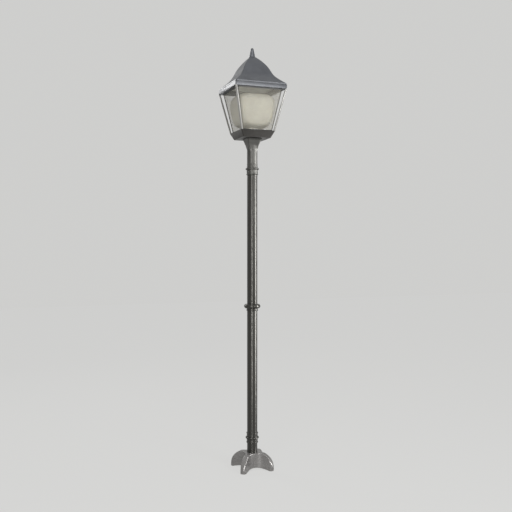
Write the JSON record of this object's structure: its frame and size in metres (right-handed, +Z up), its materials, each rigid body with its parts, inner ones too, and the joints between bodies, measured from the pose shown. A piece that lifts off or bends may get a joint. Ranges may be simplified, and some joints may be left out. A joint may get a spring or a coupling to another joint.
{
  "type": "street light",
  "caption": "Post-top street light: round post with rings on a four-toed cast foot, square tapered glass lantern with an opal globe under a hinged ogee roof.",
  "frame": {"origin": "on the ground plane, on the post's axis, at the centre of the four anchor holes", "axes": "+Z up along the post; -Y towards the front of the lantern; +Y towards the roof's hinges"},
  "size_m": [0.392, 0.406, 3.0923],
  "materials": {
    "post_casting": "brushed, dark anodised casting",
    "post_tube": "brushed gunmetal",
    "post_ring": "brushed gunmetal",
    "neck_metal": "brushed gunmetal",
    "tray_metal": "satin dark grey",
    "bar_metal": "satin light grey",
    "frame_metal": "satin grey",
    "roof_metal": "satin grey",
    "clear_glass": "clear, slightly hazy",
    "opal": "opal, diffusing",
    "bulb": "opal lamp",
    "porcelain": "cream ceramic",
    "reflector": "matt white-grey sheet",
    "strip": "translucent grey sealing strip",
    "rubber": "black rubber",
    "zinc": "zinc-plated or stainless steel",
    "brass": "dull brass",
    "lead": "wire insulation"
  },
  "bodies": {
    "post": {"foot_casting": "post_casting", "foot_screws": "zinc", "lower_tube": "post_tube", "foot_collar": "post_ring", "mid_collar": "post_ring", "joint_sleeve": "zinc", "upper_tube": "post_tube", "neck_casting": "neck_metal", "ring_screws": "zinc", "tray_gasket": "rubber", "tray": "tray_metal", "tray_screws": "zinc", "sill_seal": "rubber", "corner_bar_back_right": "bar_metal", "corner_bar_back_left": "bar_metal", "corner_bar_front_left": "bar_metal", "corner_bar_front_right": "bar_metal", "glass_front": "clear_glass", "glass_right": "clear_glass", "glass_back": "clear_glass", "glass_left": "clear_glass", "corner_strips": "strip", "head_seal": "rubber", "eave_frame": "frame_metal", "bar_nuts": "zinc", "gallery": "zinc", "gallery_screws": "zinc", "thumb_screws": "brass", "opal_globe": "opal", "lamp_holder": "porcelain", "lamp": "bulb", "terminal_block": "porcelain", "lamp_leads": "lead", "cable_grommet": "rubber", "roof_seal": "rubber", "hinge_bracket_left": "frame_metal", "hinge_bracket_right": "frame_metal", "hinge_pin_left": "zinc", "hinge_pin_right": "zinc", "hinge_screws": "zinc", "roof_lock_screw": "zinc"},
    "roof": {"roof_shell": "roof_metal", "reflector_plate": "reflector", "reflector_screws": "zinc", "finial": "roof_metal", "finial_nut": "zinc"}
  },
  "joints": [
    {"name": "roof_hinge", "type": "hinge", "parent": "post", "child": "roof", "pos_m": [0, 0.204, 2.8068], "axis": [-1, 0, 0], "range_deg": [0, 100]}
  ]
}
